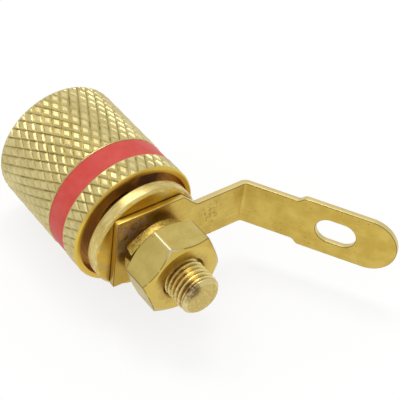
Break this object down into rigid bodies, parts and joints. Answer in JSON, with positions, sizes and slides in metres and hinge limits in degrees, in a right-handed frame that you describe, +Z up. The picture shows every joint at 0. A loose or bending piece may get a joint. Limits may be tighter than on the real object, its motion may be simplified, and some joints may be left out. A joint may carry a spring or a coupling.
{
  "type": "banana socket",
  "caption": "Screw-down banana socket: knurled knob with a coloured ring on a flanged post, with a bent solder tag, a split spring washer and a hex nut on its stud.",
  "frame": {"origin": "centre of the flange's rear face, where the post seats on a panel", "axes": "+Y along the post's axis towards the stud, -X along the solder tag's arm, +Z up as the picture shows it"},
  "size_m": [0.0258, 0.0294, 0.013],
  "materials": {
    "knob_gold": "gold-plated, bright, diamond knurl",
    "ring_plastic": "satin red",
    "post_gold": "gold-plated, turned",
    "tag_gold": "gold-plated sheet",
    "washer_gold": "gold-plated",
    "nut_gold": "gold-plated, satin"
  },
  "bodies": {
    "post": {"post": "post_gold", "solder_tag": "tag_gold"},
    "ring": {"colour_ring": "ring_plastic"},
    "knob": {"knob": "knob_gold"},
    "washer": {"spring_washer": "washer_gold"},
    "nut": {"hex_nut": "nut_gold"}
  },
  "joints": [
    {"name": "knob_travel", "type": "slide", "parent": "post", "child": "ring", "axis": [0, -1, 0], "range_m": [-0.0016, 0.003]},
    {"name": "knob_turn", "type": "hinge", "parent": "ring", "child": "knob", "pos_m": [0, 0, 0], "axis": [0, -1, 0], "range_deg": [-768, 1440]},
    {"name": "nut_travel", "type": "slide", "parent": "post", "child": "washer", "axis": [0, 1, 0], "range_m": [-0.00033, 0.0028]},
    {"name": "nut_turn", "type": "hinge", "parent": "washer", "child": "nut", "pos_m": [0, 0, 0], "axis": [0, 1, 0], "range_deg": [-245, 2016]}
  ],
  "couplings": [
    {"joint": "knob_turn", "follows": "knob_travel", "rad_per_m": 8377.6},
    {"joint": "nut_turn", "follows": "nut_travel", "rad_per_m": 12566}
  ]
}
